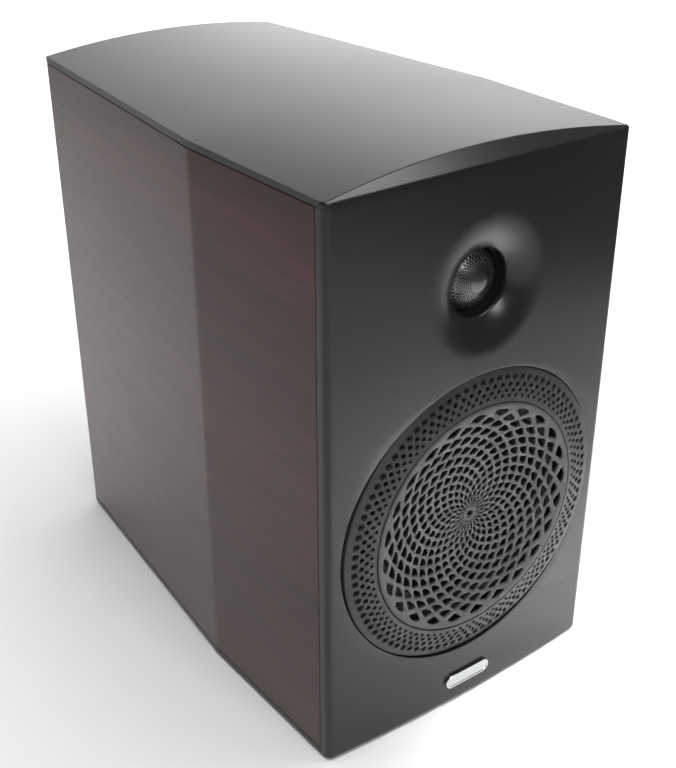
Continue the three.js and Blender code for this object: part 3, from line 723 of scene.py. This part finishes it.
class Lattice:
    """A turned sheet with staggered rings of holes, each in a diamond cell between its neighbours.

    radii run from the outermost ring inward, between the circles border and core. count is the number
    of holes in each ring, phase the angle of the first, and edge_steps the number of points along each
    side of a cell. front and back give the sheet's depth at a radius.
    """

    def __init__(self, axis, radii, border, core, count, phase, edge_steps, front, back):
        self.axis = axis
        self.radii = radii
        self.border = border
        self.core = core
        self.count = count
        self.phase = phase
        self.edge_steps = edge_steps
        self.front = front
        self.back = back
        self.pitch = 2 * math.pi / count
        self.skin = Skin()

    def point(self, angle, radius, depth):
        return on_circle(self.axis, angle, radius, depth)

    def ring_angle(self, ring, k):
        """Angle of a ring's hole number k; every other ring is half a pitch further round."""
        return self.phase + (k + 0.5 * (ring % 2)) * self.pitch

    def radius_beyond(self, ring, outward):
        """Radius of the next ring, or of the circle where there is none."""
        beyond = ring - 1 if outward else ring + 1
        if beyond < 0:
            return self.border
        if beyond >= len(self.radii):
            return self.core
        return self.radii[beyond]

    def cell(self, ring, k):
        """(angle, radius) points round a hole's diamond, from its right corner towards its outer one."""
        middle_angle, radius = self.ring_angle(ring, k), self.radii[ring]
        half = self.pitch / 2
        corners = [
            (middle_angle + half, radius),
            (middle_angle, self.radius_beyond(ring, True)),
            (middle_angle - half, radius),
            (middle_angle, self.radius_beyond(ring, False)),
        ]
        points = []
        for first, second in zip(corners, [*corners[1:], corners[0]]):
            for step in range(self.edge_steps):
                share = step / self.edge_steps
                points.append(tuple(a + (b - a) * share for a, b in zip(first, second)))
        return points

    def holed_cell(self, ring, k, outline, lip):
        """Joins the cell's edge to the hole on both faces, with the lip's steps and a wall."""
        centre, radius = self.ring_angle(ring, k), self.radii[ring]
        cell = self.cell(ring, k)
        edge = [outline(math.atan2(r - radius, (angle - centre) * radius)) for angle, r in cell]

        def cell_loop(depth):
            return [self.point(angle, r, depth(r)) for angle, r in cell]

        def hole_loop(scale, depth, drop=0.0):
            points = []
            for u, v in edge:
                r = radius + v * scale
                points.append(self.point(centre + u * scale / radius, r, depth(r) + drop))
            return points

        lips = [hole_loop(1 + widening, self.front, drop) for widening, drop in lip]
        self.skin.loft([cell_loop(self.front), *lips, hole_loop(1, self.back), cell_loop(self.back)])

    def fill_border(self, ring, radius, depth):
        """Fills between a border circle and the zigzag of the cells next to it."""
        steps = 2 * self.edge_steps
        for k in range(self.count):
            start = self.ring_angle(ring, k)
            corner = (start + self.pitch / 2, self.radii[ring])
            zigzag, arc = [], []
            for step in range(steps + 1):
                share = step / steps
                angle = start + self.pitch * share
                near = 1 - abs(2 * share - 1)
                r = radius + (corner[1] - radius) * near
                zigzag.append(self.point(angle, r, depth(r)))
                arc.append(self.point(angle, radius, depth(radius)))
            self.skin.strip(self.skin.row(zigzag), self.skin.row(arc))

    def perforate(self, hole, lip, counterbore=()):
        """Makes both faces and all the holes.

        hole(ring) gives the ring's outline in millimetres as a function of the direction in the cell,
        an angle from along the ring towards outward. lip lists the steps from the face into a hole, as
        (share by which it is wider there, drop), and counterbore the outermost ring's steps before it.
        """
        for ring in range(len(self.radii)):
            outline = hole(ring)
            steps = lip if ring else (*counterbore, *lip)
            for k in range(self.count):
                self.holed_cell(ring, k, outline, steps)
        last = len(self.radii) - 1
        for depth in (self.front, self.back):
            self.fill_border(0, self.border, depth)
            self.fill_border(last, self.core, depth)

    def angles(self, ring):
        """Angles of the points on a border circle next to a ring."""
        start = self.ring_angle(ring, 0)
        steps = 2 * self.edge_steps * self.count
        return [start + 2 * math.pi * step / steps for step in range(steps)]

    def rim(self, ring, outline):
        """Turns an outline of (radius, depth) points onto the border next to a ring."""
        angles = self.angles(ring)
        self.skin.loft([self.point(angle, radius, depth) for angle in angles] for radius, depth in outline)


def round_hole(radius):
    return lambda turn: (radius * math.cos(turn), radius * math.sin(turn))


CORNER_SHARPNESS = 9  # a higher number gives a faceted hole sharper corners


def faceted_hole(facets, half_across, half_along):
    """A hole with slightly rounded corners from facets (a, b), each the line a u + b v = 1."""

    def outline(turn):
        u, v = math.cos(turn) / half_across, math.sin(turn) / half_along
        pushes = [max(0.0, a * u + b * v) ** CORNER_SHARPNESS for a, b in facets]
        reach = sum(pushes) ** (1 / CORNER_SHARPNESS)
        return math.cos(turn) / reach, math.sin(turn) / reach

    return outline


# An arrowhead: two long sides that meet in a point, two short sides and a narrow base
POINTED_OUTWARD = [(1.19, 0.8), (-1.19, 0.8), (0.86, -0.55), (-0.86, -0.55), (0, -1.05)]
POINTED_INWARD = [(u, -v) for u, v in POINTED_OUTWARD]

# ---- Woofer lens ----

LENS_HOLES = 24  # in each ring
LENS_RINGS = 16  # besides the one along the rim, whose openings point the other way
LENS_RIM_RING = 64.4  # radius of the ring along the rim
LENS_FIRST_RING = 60.5
LENS_RADII = [LENS_RIM_RING, *(LENS_FIRST_RING - 3.45 * k - 0.016 * k * k for k in range(LENS_RINGS))]
LENS_BORDER = 67.4
LENS_CORE = 4.2
LENS_PHASE = math.radians(11.7)
LENS_THICKNESS = 1.1
LENS_DISH = 6.8  # how far the middle lies behind the rim
LENS_FLAT = 67.6  # radius where the dish starts
LENS_SKIRT_BACK = -3.4
LENS_SKIRT_WALL = 1.5
HOLE_HALF_WIDTH = 0.31  # as a share of the pitch along a ring
HOLE_HALF_LENGTH = 0.57  # as a share of the spacing of the rings
RIM_HOLE_HALF_WIDTH = 5.283
RIM_HOLE_HALF_LENGTH = 2.15


def lens_front(radius):
    out = min(radius / LENS_FLAT, 1)
    return LENS_FRONT + LENS_DISH * (1 - out * out)


def lens_back(radius):
    return lens_front(radius) + LENS_THICKNESS


def lens_hole(ring):
    """Openings that shrink with their ring; the first ring's spacing is counted without the rim's."""
    if ring == 0:
        return faceted_hole(POINTED_INWARD, RIM_HOLE_HALF_WIDTH, RIM_HOLE_HALF_LENGTH)
    pitch = 2 * math.pi * LENS_RADII[ring] / LENS_HOLES
    spacing = LENS_RADII[ring - 1] - LENS_RADII[ring] if ring > 1 else 3.5
    return faceted_hole(POINTED_OUTWARD, pitch * HOLE_HALF_WIDTH, spacing * HOLE_HALF_LENGTH)


def lens_rim():
    """The lens beyond its openings: a flat, a rounded edge and a short skirt, as (radius, depth)."""
    front, back = lens_front(LENS_BORDER), lens_back(LENS_BORDER)
    rounded = curve_through((LENS_RADIUS - 1, front), (LENS_RADIUS, front), (LENS_RADIUS, front + 0.9))
    inner = LENS_RADIUS - LENS_SKIRT_WALL
    skirt = [(LENS_RADIUS, LENS_SKIRT_BACK), (inner, LENS_SKIRT_BACK), (inner, back)]
    return [(LENS_BORDER, front), (68.2, front - 0.02), *rounded, *skirt, (LENS_BORDER, back)]


def star_centre(lattice):
    """The middle of the lens, with its small eight-pointed opening."""
    points, inner, outer, edge, chamfer = 8, 1.4, 2.8, 1.5, 0.15
    flat = 3.4
    angles = lattice.angles(LENS_RINGS)

    def circle(radius, depth):
        return [lattice.point(angle, radius, depth) for angle in angles]

    def star(grow, depth):
        row = []
        for angle in angles:
            tooth = (0.5 + 0.5 * math.cos(points * angle)) ** 1.5
            row.append(lattice.point(angle, inner + (outer - inner) * tooth + grow, depth))
        return row

    lattice.skin.loft([
        circle(LENS_CORE, lens_front(LENS_CORE)),
        circle(flat, lens_front(flat)),
        star(chamfer, lens_front(edge)),
        star(0, lens_front(edge) + 0.25),
        star(0, lens_back(edge)),
        circle(LENS_CORE, lens_back(LENS_CORE)),
    ])


def woofer_lens():
    """The dished disc over the woofer, its openings growing from a star in the middle to the rim."""
    lattice = Lattice((WOOFER_X, WOOFER_HEIGHT), LENS_RADII, LENS_BORDER, LENS_CORE, LENS_HOLES, LENS_PHASE,
                      edge_steps=5, front=lens_front, back=lens_back)
    lattice.perforate(lens_hole, lip=[(0.1, 0), (0.03, 0.12), (0, 0.4)])
    lattice.rim(0, lens_rim())
    star_centre(lattice)
    made("lens_moulding_perforated", lattice.skin, LENS_PLASTIC, "woofer_lens", sharp=40)


# ---- Woofer trim ring ----

RING_HOLES = 90  # in each row
RING_ROWS = [83.6, 79.6, 76.5, 73.8]
RING_HOLE_RADII = [1.3, 1.45, 1.25, 1.05]
RING_BORDER = 86.3
RING_CORE = 71.9
RING_EDGE = -2.4  # depth of the ring's front at its outer edge
RING_INNER = 70.3
RING_SHELL = 1.4  # thickness of the perforated sheet
RING_WALL = 1.5


def ring_front(radius):
    """Depth of the ring's front, which rises from its outer edge to the crest at its inner one."""
    share = (RING_RADIUS - radius) / (RING_RADIUS - RING_INNER)
    return RING_EDGE + (RING_CREST - RING_EDGE) * (share + 0.35 * share * (1 - share))


def ring_back(radius):
    return ring_front(radius) + RING_SHELL


def ring_hole(ring):
    return round_hole(RING_HOLE_RADII[ring])


def ring_outside():
    """From the perforated part over the rounded outer edge and round the wall, as (radius, depth)."""
    shoulder = RING_RADIUS - 0.6
    rounded = curve_through((shoulder, ring_front(shoulder)), (RING_RADIUS, RING_EDGE),
                            (RING_RADIUS, RING_EDGE + 0.6))
    inner = RING_RADIUS - RING_WALL
    wall = [(RING_RADIUS, RING_BACK), (inner, RING_BACK), (inner, ring_back(inner))]
    return [(RING_BORDER, ring_front(RING_BORDER)), (88, ring_front(88)), *rounded, *wall,
            (RING_BORDER, ring_back(RING_BORDER))]


def ring_inside():
    """The perforated part's inner edge, slightly broken."""
    broken = RING_INNER + 0.4
    return [(RING_CORE, ring_front(RING_CORE)), (broken, ring_front(broken)),
            (RING_INNER, ring_front(RING_INNER) + 0.35), (RING_INNER, ring_back(RING_INNER)),
            (RING_CORE, ring_back(RING_CORE))]


def trim_ring():
    """The ring around the lens, with four staggered rows of round holes, the outer ones countersunk."""
    lattice = Lattice((WOOFER_X, WOOFER_HEIGHT), RING_ROWS, RING_BORDER, RING_CORE, RING_HOLES, phase=0,
                      edge_steps=3, front=ring_front, back=ring_back)
    counterbore = [(0.62, 0), (0.56, 0.1), (0.5, 0.65)]
    lattice.perforate(ring_hole, [(0.08, 0), (0, 0.12)], counterbore)
    lattice.rim(0, ring_outside())
    lattice.rim(len(RING_ROWS) - 1, ring_inside())
    made("trim_ring_perforated", lattice.skin, RING_PLASTIC, "woofer_trim_ring", sharp=40)


# ---- Tweeter guard ----


GUARD_HOLES = 40  # in each ring
GUARD_RADII = [15.6, 14.1, 12.7, 11.4, 10.15, 8.95, 7.8, 6.7, 5.7]
GUARD_BORDER = 16.6
GUARD_CORE = 4.9
GUARD_THICKNESS = 0.5
GUARD_RISE = GUARD_BACK - GUARD_FRONT
GUARD_SPHERE = (GUARD_RADIUS ** 2 + GUARD_RISE ** 2) / (2 * GUARD_RISE)


def guard_front(radius):
    return GUARD_BACK - (math.sqrt(GUARD_SPHERE ** 2 - radius ** 2) - (GUARD_SPHERE - GUARD_RISE))


def guard_back(radius):
    return guard_front(radius) + GUARD_THICKNESS


def guard_hole(ring):
    """A round hole that shrinks with its ring, but is no larger than the outer rings'."""
    pitch = 2 * math.pi * GUARD_RADII[ring] / GUARD_HOLES
    return round_hole(min(0.38 * pitch, 0.75))


def tweeter_guard():
    """A pressed dome, finely perforated in rings about a smooth centre."""
    lattice = Lattice((TWEETER_X, TWEETER_HEIGHT), GUARD_RADII, GUARD_BORDER, GUARD_CORE, GUARD_HOLES,
                      phase=0, edge_steps=2, front=guard_front, back=guard_back)
    lattice.perforate(guard_hole, lip=[(0.15, 0), (0, 0.1)])
    edge = GUARD_RADIUS - 0.15
    lattice.rim(0, [(GUARD_BORDER, guard_front(GUARD_BORDER)), (edge, guard_front(edge)),
                    (GUARD_RADIUS, guard_front(edge) + 0.2), (GUARD_RADIUS, GUARD_BACK),
                    (GUARD_RADIUS - GUARD_THICKNESS, GUARD_BACK), (GUARD_BORDER, guard_back(GUARD_BORDER))])
    last = len(GUARD_RADII) - 1
    lattice.rim(last, [(radius, guard_front(radius)) for radius in (GUARD_CORE, 3.6, 2.2, 1, 0)])
    lattice.rim(last, [(radius, guard_back(radius)) for radius in (GUARD_CORE, 2.2, 0)])
    made("tweeter_guard_perforated", lattice.skin, GUARD_METAL, "tweeter_mesh_guard", sharp=50)


# ---- Badge ----


def stadium(width, height, steps):
    """(x, z) points round a bar with half-round ends, clockwise from its upper right corner."""
    radius = height / 2 - TOLERANCE
    points = []
    for corner, (side, level) in enumerate(((1, 1), (1, -1), (-1, -1), (-1, 1))):
        centre = (side * (width / 2 - radius), level * (height / 2 - radius))
        start = corner * math.pi / 2
        for angle in between(start, start + math.pi / 2, steps):
            points.append((centre[0] + radius * math.sin(angle), centre[1] + radius * math.cos(angle)))
    return points


def badge():
    """A plain polished stadium plate with a raised rim."""
    low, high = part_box("badge_plate")
    width, height = millimetres(high.x - low.x), millimetres(high.z - low.z)
    x, level = axis_of("badge_plate")
    near, far = depths_of("badge_plate")
    sunk = near + 0.4
    profile = [(0, far), (0, near + 0.45), (0.12, near + 0.16), (0.4, near), (1.0, near), (1.25, near + 0.12),
               (1.45, sunk), (height / 2 - 0.1, sunk)]
    loops = []
    for inset, depth in profile:
        outline = stadium(width - 2 * inset, height - 2 * inset, 12)
        loops.append([place(x + px, depth, level + pz) for px, pz in outline])
    skin = Skin()
    rows = skin.loft(loops)
    skin.cap(rows[0])
    skin.cap(rows[-1])
    made("badge_plate_polished", skin, CHROME, "badge_plate")


# ---- Woofer, behind the lens ----


def moving_shell(name, node, front, thickness):
    """A thin turned piece of the woofer's moving parts, from the (radius, depth) points of its front."""
    back = [(radius, depth + thickness) for radius, depth in reversed(front)]
    skin = turned([*front, *back], (WOOFER_X, WOOFER_HEIGHT))
    made(name, skin, CONE_FACE, node, body="woofer_moving")


def woofer_cone():
    """A cone that falls a little steeper at its rim than at its neck."""
    outer = radius_of("woofer_cone")
    near, far = depths_of("woofer_cone")
    neck, thickness, curve = 20.2, 1.2, 0.18
    front = []
    for share in between(0, 1, 14):
        fall = share + curve * share * (1 - share)
        front.append((outer + (neck - outer) * share, near + (far - thickness - near) * fall))
    moving_shell("cone_moulded", "woofer_cone", front, thickness)


def dust_cap():
    """A shallow bowl that closes the cone's neck."""
    outer = radius_of("woofer_dust_cap")
    near, far = depths_of("woofer_dust_cap")
    thickness = 0.9
    front = [(outer * share, near + (far - thickness - near) * share * share) for share in between(0, 1, 10)]
    moving_shell("dust_cap_moulded", "woofer_dust_cap", front, thickness)


# ---- Rear fittings ----


def port_tube():
    """The bass port: a flared mouth with a rolled lip, and its tube."""
    outer = radius_of("port_tube")
    start, mouth = depths_of("port_tube")
    bore, wall, flange, flare_reach, flare_length = 25.0, 2.5, 3, 10, 16
    flare = []
    for angle in between(0, math.pi / 2, 12):
        radius = bore + flare_reach * (1 - math.cos(angle))
        flare.append((radius, mouth - flare_length * (1 - math.sin(angle))))
    roll = curve_through((outer - 1.6, mouth), (outer, mouth), (outer, mouth - 1.2))
    outline = [(bore, start), *flare, *roll, (outer, mouth - flange), (bore + wall, mouth - flange),
               (bore + wall, start)]
    skin = turned(outline, axis_of("port_tube"), 128)
    made("port_flared", skin, REAR_PLASTIC, "port_tube")


def binding_cap(polarity, material):
    """A knurled cap with a collar, a socket for a plug and the bore for its post."""
    node = f"{polarity}_cap"
    axis, grip = axis_of(node), radius_of(node)
    start, end = depths_of(node)
    socket, bore, flutes, points_per_flute = 2.1, 3.1, 18, 6
    floor = start + 10.2
    collar = [(bore, start, 0), (grip - 0.5, start, 0), (grip - 0.05, start + 0.4, 0),
              (grip - 0.05, start + 2.2, 0), (grip - 0.6, start + 2.6, 0)]
    knurl = [(grip - 0.3, start + 3.0, 0.3), (grip, start + 3.5, 0.6), (grip, end - 1.6, 0.6),
             (grip - 0.3, end - 0.8, 0.4), (grip - 1.2, end - 0.1, 0), (grip - 1.8, end, 0)]
    inside = [(socket + 0.9, end, 0), (socket + 0.3, end - 0.2, 0), (socket, end - 0.7, 0),
              (socket, floor, 0), (bore, floor, 0)]
    loops = []
    for radius, depth, relief in (*collar, *knurl, *inside):
        loop = []
        for angle in turns(flutes * points_per_flute):
            valley = (0.5 - 0.5 * math.cos(flutes * angle)) ** 2
            loop.append(on_circle(axis, angle, radius - relief * valley, depth))
        loops.append(loop)
    skin = Skin()
    rows = skin.loft(loops)
    skin.strip(rows[-1], rows[0], closed=True)
    made(f"{polarity}_cap_knurled", skin, material, node, body=f"{polarity}_nut")


def cross_reach(angle, blade, recess):
    """Outline of a cross recess: how far out its wall lies in a direction."""
    u, v = abs(math.sin(angle)), abs(math.cos(angle))
    narrow, wide = min(u, v), max(u, v)
    if narrow * recess <= blade * wide:
        return recess
    return min(recess / wide, blade / narrow)


def cross_screw(node, forward):
    """A pan-head screw with a cross recess. forward is 1 where its head faces the rear, -1 the front."""
    axis, radius = axis_of(node), radius_of(node)
    near, far = depths_of(node)
    tip, top = (near, far) if forward > 0 else (far, near)
    shank, head, blade, recess = radius * 0.48, radius * 0.56, radius * 0.16, radius * 0.62
    points = 48
    profile = [
        (0, tip), (shank, tip + forward * 1.5), (shank, top - forward * head), (radius, top - forward * head),
        (radius, top - forward * head * 0.55), (radius * 0.93, top - forward * head * 0.22),
        (radius * 0.8, top - forward * head * 0.05), (radius * 0.72, top),
    ]
    loops = [[on_circle(axis, angle, reach, depth) for angle in turns(points)] for reach, depth in profile]
    for share, sunk in ((1, 0), (0.9, 0.5), (0, 0.6)):
        depth = top - forward * head * sunk
        loop = []
        for angle in turns(points):
            loop.append(on_circle(axis, angle, share * cross_reach(angle, blade, recess), depth))
        loops.append(loop)
    skin = Skin()
    skin.loft(loops)
    made(f"{node}_cross", skin, DARK_STEEL, node, sharp=30)


def rubber_foot(node):
    """A moulded foot with a rounded sole edge and a shallow hollow underneath."""
    low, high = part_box(node)
    centre = middle(node)
    radius = (high.x - low.x) / 2
    rounding, hollow = 0.5 * MM, 0.5 * MM
    outline = [(0, high.z), (radius * 0.87, high.z), (radius, low.z + rounding),
               (radius * 0.97, low.z + rounding * 0.24), (radius * 0.92, low.z), (radius * 0.5, low.z),
               (radius * 0.42, low.z + hollow), (0, low.z + hollow)]
    loops = []
    for reach, z in outline:
        loop = []
        for angle in turns(48):
            loop.append(Vector((centre.x + reach * math.cos(angle), centre.y + reach * math.sin(angle), z)))
        loops.append(loop)
    skin = Skin()
    skin.loft(loops)
    made(f"{node}_moulded", skin, RUBBER, node)


# ---- The build ----

front_fascia()
top_board()
side_board(-1, "left")
side_board(1, "right")
trim_ring()
woofer_lens()
tweeter_guard()
badge()
woofer_cone()
dust_cap()
port_tube()
binding_cap("negative", CAP_BLACK)
binding_cap("positive", CAP_RED)
for number in (1, 2, 3, 4):
    cross_screw(f"woofer_screw_{number}", forward=-1)
    cross_screw(f"cup_screw_{number}", forward=1)
for number in (1, 2):
    cross_screw(f"tweeter_screw_{number}", forward=-1)
for end in ("front", "rear"):
    for side in ("left", "right"):
        rubber_foot(f"foot_{end}_{side}")

# CAD nodes that keep their shape: their finish, and the width of their rounded edges in millimetres
CARRIED_OVER = {
    "bottom_panel": (LACQUER, 0.4),
    "rear_panel": (REAR_FILM, 0.5),
    "inner_baffle": (RAW_BOARD, 0),
    "shelf_brace": (RAW_BOARD, 0),
    "damping_wadding": (WADDING, 0),
    "woofer_basket": (CAST_METAL, 0),
    "woofer_surround": (RUBBER, 0),
    "woofer_coil_former": (AMBER_CLOTH, 0),
    "woofer_voice_coil": (COPPER, 0),
    "woofer_spider": (AMBER_CLOTH, 0),
    "woofer_top_plate": (PLATED_STEEL, 0.4),
    "woofer_magnet": (FERRITE, 0.5),
    "woofer_back_plate": (PLATED_STEEL, 0.4),
    "tweeter_plate": (REAR_PLASTIC, 0),
    "tweeter_dome": (DOME_METAL, 0),
    "tweeter_surround": (RUBBER, 0),
    "tweeter_voice_coil": (COPPER, 0),
    "tweeter_top_plate": (PLATED_STEEL, 0.3),
    "tweeter_magnet": (FERRITE, 0.4),
    "tweeter_back_plate": (PLATED_STEEL, 0.3),
    "tweeter_rear_chamber": (CAST_METAL, 0),
    "crossover_board": (CIRCUIT, 0),
    "woofer_inductor": (COPPER, 0),
    "tweeter_inductor": (COPPER, 0),
    "woofer_capacitor": (FILM_CAN, 0.8),
    "tweeter_capacitor": (FILM_CAN, 0.8),
    "woofer_lead": (LEAD_RED, 0),
    "tweeter_lead": (LEAD_RED, 0),
    "terminal_cup": (REAR_PLASTIC, 0.5),
    "negative_post": (GOLD, 0.2),
    "positive_post": (GOLD, 0.2),
    "negative_washer": (GOLD, 0.15),
    "positive_washer": (GOLD, 0.15),
}
for node, (material, edge) in CARRIED_OVER.items():
    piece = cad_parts[node]
    piece.data.materials.clear()
    piece.data.materials.append(material)
    if edge:
        soften(piece, edge, 2)

# ---- Floor, light and camera, in metres ----

CAMERA_PLACE = (-0.39535, -0.56946, 0.51625)
CAMERA_HEADING = 53.325  # degrees from +X
CAMERA_PITCH = 28.47  # degrees down
SWEEP_START = 1.3  # where the paper starts to turn up, measured along the camera's heading
SWEEP_TURN = 0.5  # radius of that turn
SWEEP_HEIGHT = 1.9
SWEEP_LEFT = 4
SWEEP_RIGHT = 0.72  # beyond this edge the dark room keeps the front's reflections dark
SWEEP_NEAR = 4


def studio_floor():
    """A sheet of pale paper that lies along the camera's heading and turns up behind the speaker."""
    nodes = Nodes("studio_paper")
    drift = two_tone(nodes, (0.80, 0.80, 0.80), (0.83, 0.83, 0.83), 1.5)
    nodes.roughness(drift, 0.85, 0.95)
    heading = math.radians(CAMERA_HEADING)
    along = Vector((math.cos(heading), math.sin(heading), 0))
    across = Vector((math.sin(heading), -math.cos(heading), 0))
    section = [(-SWEEP_NEAR, 0), (SWEEP_START, 0)]
    for angle in between(0, math.pi / 2, 16)[1:]:
        section.append((SWEEP_START + SWEEP_TURN * math.sin(angle), SWEEP_TURN * (1 - math.cos(angle))))
    section.append((SWEEP_START + SWEEP_TURN, SWEEP_HEIGHT))
    loops = []
    for ahead, height in section:
        line = along * ahead + Vector((0, 0, height))
        loops.append([line - across * SWEEP_LEFT, line + across * SWEEP_RIGHT])
    skin = Skin()
    skin.loft(loops, closed=False)
    data = bpy.data.meshes.new("studio_floor")
    data.from_pydata(skin.points, [], skin.faces)
    data.materials.append(nodes.material)
    floor = bpy.data.objects.new("studio_floor", data)
    bpy.context.scene.collection.objects.link(floor)


def softbox(name, at, towards, size, power, spread=180, reflected=True):
    """A rectangular lamp that the camera doesn't see. Unless reflected, glossy surfaces don't mirror it."""
    light = bpy.data.lights.new(name, "AREA")
    light.shape = "RECTANGLE"
    light.size, light.size_y = size
    light.energy = power
    light.spread = math.radians(spread)
    lamp = bpy.data.objects.new(name, light)
    lamp.location = at
    lamp.rotation_euler = (Vector(towards) - Vector(at)).to_track_quat("-Z", "Y").to_euler()
    lamp.visible_camera = False
    lamp.visible_glossy = reflected
    bpy.context.scene.collection.objects.link(lamp)


def studio_lights():
    """Two windows that the speaker mirrors, and three lamps aimed at the paper that it doesn't."""
    softbox("overhead", (0.12, -0.12, 1.25), (0.12, -0.12, 0), (1, 0.8), power=12)
    softbox("wall_wash", (0.64, 0.34, 1), (1.5, 1.2, 0.08), (1.6, 0.3), power=34, reflected=False)
    softbox("near_floor", (0.16, -0.32, 0.9), (0.14, -0.28, 0), (0.15, 0.15), 0.6, 30, reflected=False)
    softbox("left_floor", (-0.8, 0, 1.3), (-0.7, -0.05, 0), (0.8, 0.8), 3.6, 120, reflected=False)
    softbox("front_window", (-0.08, -1.42, 1), (0, -0.16, 0.25), (0.6, 0.6), power=9)


def room_light(strength):
    """A faint even light from all round."""
    world = bpy.data.worlds.new("room")
    world.use_nodes = True
    background = world.node_tree.nodes["Background"]
    background.inputs["Color"].default_value = (1, 1, 1, 1)
    background.inputs["Strength"].default_value = strength
    bpy.context.scene.world = world


def photo_camera():
    """The photograph's viewpoint: above and to the left of the front."""
    data = bpy.data.cameras.new("camera")
    data.lens = 57.703  # millimetres, on Blender's usual sensor of 36 mm along the picture's longer side
    data.shift_x = -0.00504
    data.shift_y = 0.00227
    camera = bpy.data.objects.new("camera", data)
    camera.location = CAMERA_PLACE
    heading, pitch = math.radians(CAMERA_HEADING), math.radians(CAMERA_PITCH)
    level = math.cos(pitch)
    ahead = Vector((math.cos(heading) * level, math.sin(heading) * level, -math.sin(pitch)))
    camera.rotation_euler = ahead.to_track_quat("-Z", "Y").to_euler()
    bpy.context.scene.collection.objects.link(camera)
    bpy.context.scene.camera = camera


studio_floor()
room_light(0.13)
studio_lights()
photo_camera()
bpy.context.scene.view_settings.view_transform = "Standard"
